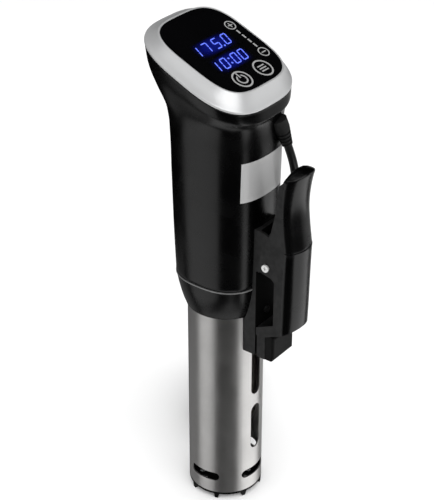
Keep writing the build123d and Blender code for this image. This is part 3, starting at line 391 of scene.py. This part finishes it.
# %% Mould grain
grain, ends, out = effect("mould_grain", {"Size": 0.4})
place = add(grain, "ShaderNodeTexCoord").outputs["Object"]
scale = add(grain, "ShaderNodeMath", {0: 1000.0, 1: ends.outputs["Size"]}, operation="DIVIDE").outputs[0]
cells = add(grain, "ShaderNodeTexVoronoi", {"Vector": place, "Scale": scale}, feature="SMOOTH_F1")
cloud = add(grain, "ShaderNodeTexNoise", {"Vector": place, "Scale": scale, "Detail": 3.0})
both = add(grain, "ShaderNodeMath", {0: cells.outputs["Distance"], 1: cloud.outputs["Fac"]}, operation="ADD")
grain.links.new(both.outputs[0], out.inputs["Value"])
print("effect:", grain.name)

# %% Handling marks
marks, ends, out = effect("handling_marks", {"Size": 30.0})
place = add(marks, "ShaderNodeTexCoord").outputs["Object"]
scale = add(marks, "ShaderNodeMath", {0: 1000.0, 1: ends.outputs["Size"]}, operation="DIVIDE").outputs[0]
broad = add(marks, "ShaderNodeTexNoise", {"Vector": place, "Scale": scale, "Detail": 5.0, "Distortion": 0.6})
shaped = add(marks, "ShaderNodeMapRange", {0: broad.outputs["Fac"], 1: 0.42, 2: 0.68})
marks.links.new(shaped.outputs[0], out.inputs["Value"])
print("effect:", marks.name)

# %% Worn edges
edges, ends, out = effect("worn_edges", {"Reach": 0.06})
bend = add(edges, "ShaderNodeNewGeometry").outputs["Pointiness"]
high = add(edges, "ShaderNodeMath", {0: 0.5, 1: ends.outputs["Reach"]}, operation="ADD").outputs[0]
sharp = add(edges, "ShaderNodeMapRange", {0: bend, 1: 0.505, 2: high})
place = add(edges, "ShaderNodeTexCoord").outputs["Object"]
patchy = add(edges, "ShaderNodeTexNoise", {"Vector": place, "Scale": 220.0})
worn = add(edges, "ShaderNodeMath", {0: sharp.outputs[0], 1: patchy.outputs["Fac"]}, operation="MULTIPLY")
edges.links.new(worn.outputs[0], out.inputs["Value"])
print("effect:", edges.name)

# %% Lines left by turning
turning, ends, out = effect("turning_lines", {"Pitch": 0.25})
place = add(turning, "ShaderNodeSeparateXYZ", {0: add(turning, "ShaderNodeTexCoord").outputs["Object"]})
angle = add(turning, "ShaderNodeMath", {0: place.outputs["Y"], 1: place.outputs["X"]}, operation="ARCTAN2").outputs[0]
scale = add(turning, "ShaderNodeMath", {0: 1000.0, 1: ends.outputs["Pitch"]}, operation="DIVIDE").outputs[0]
height = add(turning, "ShaderNodeMath", {0: place.outputs["Z"], 1: scale}, operation="MULTIPLY").outputs[0]
around = add(turning, "ShaderNodeMath", {0: angle, 1: 1.6}, operation="MULTIPLY").outputs[0]
spread = add(turning, "ShaderNodeCombineXYZ", {"X": around, "Y": height})
texture = {"Vector": spread.outputs[0], "Scale": 1.0, "Detail": 4.0, "Roughness": 0.7}
lines = add(turning, "ShaderNodeTexNoise", texture)
turning.links.new(lines.outputs["Fac"], out.inputs["Value"])
print("effect:", turning.name)

# %% [markdown]
# ## The finishes
# One function writes a finish: a base colour that turns a little towards a second one where the part is handled
# or worn, a roughness that the smears break up, and a bump from the grain. The numbers are the material itself:
# a gloss moulding is dark with little sheen, a rubber is rougher, and a metal takes its colour from reflection.

# %% Finish
def use(tree, group, size):
    """The value of a shared effect, with its one input set."""
    made = tree.nodes.new("ShaderNodeGroup")
    made.node_tree = group
    made.inputs[0].default_value = size
    return made.outputs["Value"]


def blended(tree, fac, low, high):
    """A value that goes from low to high as fac goes from 0 to 1."""
    return add(tree, "ShaderNodeMapRange", {0: fac, 3: low, 4: high}).outputs[0]


SMEAR_SIZE, SMEAR_SHOWS, EDGE_REACH = 24.0, 0.06, 0.07
FINISHES = {}


def finish(
    name, color, worn, roughness, spread=0.06, metallic=0.0, specular=0.5, coat=0.0, bump=None, wear=0.5, glow=None
):
    """A finish. bump is an effect, its size and its depth in millimetres, and glow a colour and a strength."""
    made = bpy.data.materials.new(name)
    made.use_nodes = True
    tree = made.node_tree
    shader = tree.nodes["Principled BSDF"]
    fixed = {"Metallic": metallic, "Specular IOR Level": specular, "Coat Weight": coat, "Coat Roughness": 0.08}
    for label, value in fixed.items():
        shader.inputs[label].default_value = value
    smear = use(tree, marks, SMEAR_SIZE)
    edge = use(tree, edges, EDGE_REACH)
    mixed = add(tree, "ShaderNodeMath", {0: edge, 1: wear}, operation="MULTIPLY").outputs[0]
    mottled = add(tree, "ShaderNodeMath", {0: smear, 1: SMEAR_SHOWS}, operation="MULTIPLY").outputs[0]
    fac = add(tree, "ShaderNodeMath", {0: mixed, 1: mottled}, operation="ADD").outputs[0]
    colour = add(tree, "ShaderNodeMix", {0: fac, 6: (*color, 1), 7: (*worn, 1)}, data_type="RGBA")
    tree.links.new(colour.outputs[2], shader.inputs["Base Color"])
    tree.links.new(blended(tree, smear, roughness - spread / 2, roughness + spread / 2), shader.inputs["Roughness"])
    if bump:
        group, size, depth = bump
        raised = add(tree, "ShaderNodeBump", {"Height": use(tree, group, size), "Distance": depth * MM})
        raised.inputs["Strength"].default_value = 1.0
        tree.links.new(raised.outputs[0], shader.inputs["Normal"])
    if glow:
        shader.inputs["Emission Color"].default_value = (*glow[0], 1)
        shader.inputs["Emission Strength"].default_value = glow[1]
    FINISHES[name] = made
    return made


# %% Metals
finish("steel", (0.62, 0.612, 0.60), (0.72, 0.71, 0.7), 0.37, 0.05, metallic=1, bump=(turning, 0.35, 0.006))
finish("heater_steel", (0.42, 0.4, 0.37), (0.6, 0.58, 0.55), 0.38, metallic=1, bump=(grain, 0.3, 0.01))
finish("screw_steel", (0.74, 0.74, 0.73), (0.85, 0.85, 0.85), 0.36, metallic=0.55, bump=(turning, 0.3, 0.006))
finish("chrome_trim", (0.16, 0.16, 0.16), (0.4, 0.4, 0.4), 0.4, metallic=0.5)
finish("cast_laminate", (0.09, 0.09, 0.09), (0.2, 0.2, 0.2), 0.5, metallic=0.8, bump=(turning, 0.5, 0.04))
finish("aluminium", (0.62, 0.62, 0.63), (0.8, 0.8, 0.8), 0.36, metallic=1, bump=(grain, 0.3, 0.008))
finish("brass", (0.62, 0.45, 0.18), (0.8, 0.64, 0.34), 0.30, metallic=1, bump=(turning, 0.3, 0.006))
finish("brass_blades", (0.66, 0.50, 0.24), (0.8, 0.66, 0.4), 0.26, metallic=1, bump=(grain, 0.2, 0.004))
print("metals:", len(FINISHES))

# %% Mouldings, paint and print
finish(
    "black_gloss", (0.0004, 0.0004, 0.0005), (0.009, 0.009, 0.010), 0.27, 0.05,
    specular=0.45, bump=(grain, 0.5, 0.004),
)
finish(
    "black_plastic", (0.0010, 0.0010, 0.0011), (0.010, 0.010, 0.010), 0.5,
    specular=0.12, bump=(grain, 0.4, 0.02),
)
finish(
    "clamp_grey", (0.0018, 0.0018, 0.002), (0.03, 0.03, 0.03), 0.44,
    specular=0.22, bump=(grain, 0.45, 0.02), wear=0.7,
)
finish("grey_plastic", (0.1, 0.1, 0.103), (0.2, 0.2, 0.2), 0.5, bump=(grain, 0.4, 0.02))
finish(
    "silver_paint", (0.66, 0.665, 0.67), (0.8, 0.8, 0.8), 0.38, 0.04,
    metallic=0.6, coat=0.15, bump=(grain, 0.16, 0.004), wear=0.3,
)
finish(
    "silver_label", (0.42, 0.42, 0.42), (0.6, 0.6, 0.6), 0.34, 0.08,
    metallic=0.35, bump=(grain, 0.25, 0.004),
)
finish("panel_glass", (0.001, 0.001, 0.0012), (0.004, 0.004, 0.005), 0.08, 0.04, specular=0.5, wear=0.1)
finish("white_print", (0.24, 0.24, 0.24), (0.3, 0.3, 0.3), 0.5, glow=((1, 1, 1), 0.03))
finish("blue_light", (0.05, 0.08, 0.5), (0.05, 0.08, 0.5), 0.4, glow=((0.12, 0.19, 0.90), 0.8))
finish("circuit_board", (0.012, 0.09, 0.03), (0.03, 0.16, 0.06), 0.35, bump=(grain, 1.2, 0.01))
finish("rubber", (0.003, 0.003, 0.003), (0.03, 0.03, 0.03), 0.55, specular=0.3, bump=(grain, 0.35, 0.03))
finish("cord_black", (0.002, 0.002, 0.0022), (0.02, 0.02, 0.02), 0.30, specular=0.5, bump=(grain, 0.5, 0.01))
print("finishes:", len(FINISHES))

# %% Every node takes its finish
slot_of = {part["node"]: part["material_slot"] for part in frame["record"]["subparts"]}


def dress(piece, slot):
    """Gives every material slot of a piece the same finish."""
    piece.data.materials.clear()
    piece.data.materials.append(FINISHES[slot])


for name, piece in nodes.items():
    dress(piece, slot_of[name])
for piece in (handle_skin, collar_skin, grip_skin):
    dress(piece, "black_gloss")
dress(power_lead, "cord_black")
dress(surround, "silver_paint")
print("dressed nodes:", len(nodes))

# %% [markdown]
# ## The bracket's painted shade
# The bracket's outer face lies deep between the lever's cheeks, and the shade that falls there is painted: the face
# is made near black and dull, and its screws are painted near black as well, so the window in the lever looks empty.
# A mask on the face's own direction picks it out, since it is the only side that faces the user. A second material on
# a selection of faces would change the CAD mesh.

# %% Painted shade on the bracket's outer face and its screws
bracket_with_painted_shade = finish("bracket_grey_with_painted_shade", (0.0018, 0.0018, 0.002), (0.03, 0.03, 0.03), 0.44, specular=0.22, wear=0.7)
tree = bracket_with_painted_shade.node_tree
shader = tree.nodes["Principled BSDF"]
facing = add(tree, "ShaderNodeSeparateXYZ", {0: add(tree, "ShaderNodeTexCoord").outputs["Normal"]}).outputs["Y"]
painted_shade_mask = add(tree, "ShaderNodeMath", {0: facing, 1: -0.9}, operation="LESS_THAN").outputs[0]
# painted shade: where the mask picks the faces that look towards the user, the colour goes near black and the surface
# dull
for label, value in (("Base Color", 0.0001), ("Roughness", 0.95)):
    source = shader.inputs[label].links[0].from_socket
    choice = add(tree, "ShaderNodeMix", {0: painted_shade_mask, 6: source, 7: (value, value, value, 1)}, data_type="RGBA")
    tree.links.new(choice.outputs[2], shader.inputs[label])
# painted shade: the bracket's screws get a near-black finish to match the shade between the lever's cheeks
screw_painted_shade = finish("screw_finish_painted_shade", (0.004, 0.004, 0.004), (0.02, 0.02, 0.02), 0.5, specular=0.3)
nodes["clamp_bracket"].data.materials[0] = bracket_with_painted_shade
nodes["bracket_screws"].data.materials[0] = screw_painted_shade
print("recess:", bracket_with_painted_shade.name)

# %% [markdown]
# ## The haze's finish
# The film's opacity is a sine along each side, multiplied, so it is clear at its border and fullest in the
# middle. A texture's own coordinates across the film give the two sides, and no picture is needed.

# %% Haze finish
glow = bpy.data.materials.new("blue_haze")
glow.use_nodes = True
tree = glow.node_tree
shader = tree.nodes["Principled BSDF"]
shader.inputs["Base Color"].default_value = (0, 0, 0.02, 1)
shader.inputs["Roughness"].default_value = 0.1
place = add(tree, "ShaderNodeSeparateXYZ", {0: add(tree, "ShaderNodeTexCoord").outputs["Generated"]})
fades = []
for axis in "XY":
    wave = add(tree, "ShaderNodeMath", {0: place.outputs[axis], 1: math.pi}, operation="MULTIPLY").outputs[0]
    fades.append(add(tree, "ShaderNodeMath", {0: wave}, operation="SINE").outputs[0])
fade = add(tree, "ShaderNodeMath", {0: fades[0], 1: fades[1]}, operation="MULTIPLY").outputs[0]
fade = add(tree, "ShaderNodeMapRange", {0: fade, 1: 0.0, 2: 1.0}, interpolation_type="SMOOTHSTEP").outputs[0]
tree.links.new(fade, shader.inputs["Alpha"])
shader.inputs["Emission Color"].default_value = (0.004, 0.008, 0.15, 1)
shader.inputs["Emission Strength"].default_value = 0.9
for haze in hazes:
    haze.data.materials.append(glow)
print("haze finish:", glow.name)

# %% [markdown]
# ## Soft edges on the CAD pieces
# Moulded and machined edges are never sharp: a narrow bevel catches a thin line of light along each one. It is a
# modifier, so the CAD mesh under it stays as it was.

# %% Bevels
EDGES = {
    "clamp_lever": 0.35, "clamp_bracket": 0.4, "jaw_block": 0.5, "lever_shell": 0.5, "bottom_cap": 0.3,
    "plug_body": 0.6, "plug_pins": 0.2, "cord_tie": 0.3, "rating_plate": 0.08, "touch_glass": 0.25,
    "pivot_screws": 0.12, "bracket_screws": 0.12, "inner_jaw_pad": 0.3, "outer_jaw_pad": 0.3,
}
for name, width in EDGES.items():
    bevel = nodes[name].modifiers.new("soft edge", "BEVEL")
    bevel.width = width * MM
    bevel.segments = 2
    bevel.limit_method = "ANGLE"
    bevel.angle_limit = math.radians(38)
    bevel.use_clamp_overlap = True
    bevel.harden_normals = True
print("bevelled:", len(EDGES))

# %% [markdown]
# ## Floor and light
# The floor is plain and pale. Upright black and steel sides mirror whatever lies low in front of them, and a
# white floor would turn them grey, so the floor is left out of reflections, as it is in a cut-out product
# picture. What they mirror instead is a set of tall soft lights, which give a broad soft band down each side.

# %% Floor
FLOOR_HALF, FLOOR_DROP = 4.0, 0.2 * MM
floor_mesh = bpy.data.meshes.new("floor")
bm = bmesh.new()
bmesh.ops.create_grid(bm, x_segments=8, y_segments=8, size=FLOOR_HALF)
bm.to_mesh(floor_mesh)
bm.free()
floor = bpy.data.objects.new("floor", floor_mesh)
floor.location.z = -FLOOR_DROP
bpy.context.scene.collection.objects.link(floor)
paper = bpy.data.materials.new("pale_floor")
paper.use_nodes = True
tree = paper.node_tree
shader = tree.nodes["Principled BSDF"]
shader.inputs["Base Color"].default_value = (0.93, 0.93, 0.93, 1)
shader.inputs["Roughness"].default_value = 0.9
shader.inputs["Specular IOR Level"].default_value = 0.0
ray = add(tree, "ShaderNodeLightPath")
mirrored, shading = ray.outputs["Is Glossy Ray"], ray.outputs["Is Shadow Ray"]
left_out = add(tree, "ShaderNodeMath", {0: mirrored, 1: shading}, operation="MAXIMUM")
clear = add(tree, "ShaderNodeBsdfTransparent")
either = add(tree, "ShaderNodeMixShader", {0: left_out.outputs[0], 1: shader.outputs[0], 2: clear.outputs[0]})
tree.links.new(either.outputs[0], tree.nodes["Material Output"].inputs["Surface"])
floor.data.materials.append(paper)
print("floor:", FLOOR_HALF * 2, "m wide")

# %% Sky
def plain_light(tree, strength):
    """White light from all round."""
    return add(tree, "ShaderNodeBackground", {"Color": (1, 1, 1, 1), "Strength": strength}).outputs[0]


sky = bpy.data.worlds.new("studio")
sky.use_nodes = True
bpy.context.scene.world = sky
tree = sky.node_tree
tree.nodes.clear()
ray = add(tree, "ShaderNodeLightPath")
bright, dark = plain_light(tree, 1.0), plain_light(tree, 0.004)
either = add(tree, "ShaderNodeMixShader", {0: ray.outputs["Is Glossy Ray"], 1: bright, 2: dark})
tree.links.new(either.outputs[0], add(tree, "ShaderNodeOutputWorld").inputs["Surface"])
bpy.context.scene.view_settings.view_transform = "Standard"
print("sky:", sky.name)


# %% Soft lights
def softbox(name, turn, elevation, distance, wide, high, radiance, aim_height):
    """A soft light, turned from the camera's side to its right by an angle, at an elevation, facing the tube."""
    bearing = math.radians(-90 + math.degrees(CAMERA_AZIMUTH) + turn)
    rise = math.radians(elevation)
    outward = Vector((math.cos(bearing) * math.cos(rise), math.sin(bearing) * math.cos(rise), math.sin(rise)))
    data = bpy.data.lights.new(name, "AREA")
    data.shape = "RECTANGLE"
    data.size, data.size_y = wide, high
    data.energy = radiance * math.pi * wide * high
    lamp = bpy.data.objects.new(name, data)
    bpy.context.scene.collection.objects.link(lamp)
    lamp.rotation_mode = "QUATERNION"
    lamp.rotation_quaternion = outward.to_track_quat("Z", "Y")
    lamp.location = Vector((0, 0, aim_height)) + outward * distance


SOFTBOXES = [  # name, turn, elevation, distance, width, height, radiance, and the height that it aims at
    ("left_strip", -62, 0, 1.0, 0.98, 0.95, 0.75, -0.47),
    ("right_low", 81, 0, 0.7, 1.1, 0.7, 1.25, -0.49),
    ("right_middle", 117, 0, 1.0, 0.9, 0.6, 0.34, 0.0),
    ("left_back_low", -128, 0, 0.7, 0.7, 0.6, 0.2, -0.52),
    ("right_back", 165, 0, 1.0, 0.9, 0.95, 0.5, -0.33),
    ("bounce", 0, -90, 1.3, 1.5, 1.5, 0.6, 0.2),
    ("key", 27, 30, 1.2, 1.35, 0.9, 1.9, 0.3),
    ("left_high", -45, 48, 1.1, 0.7, 0.7, 0.68, 0.3),
    ("right_level", 97, 6, 1.0, 0.6, 0.5, 0.6, 0.38),
    ("overhead", 180, 84, 1.3, 0.7, 0.7, 0.8, 0.2),
]
for row in SOFTBOXES:
    softbox(*row)
print("soft lights:", len(SOFTBOXES))
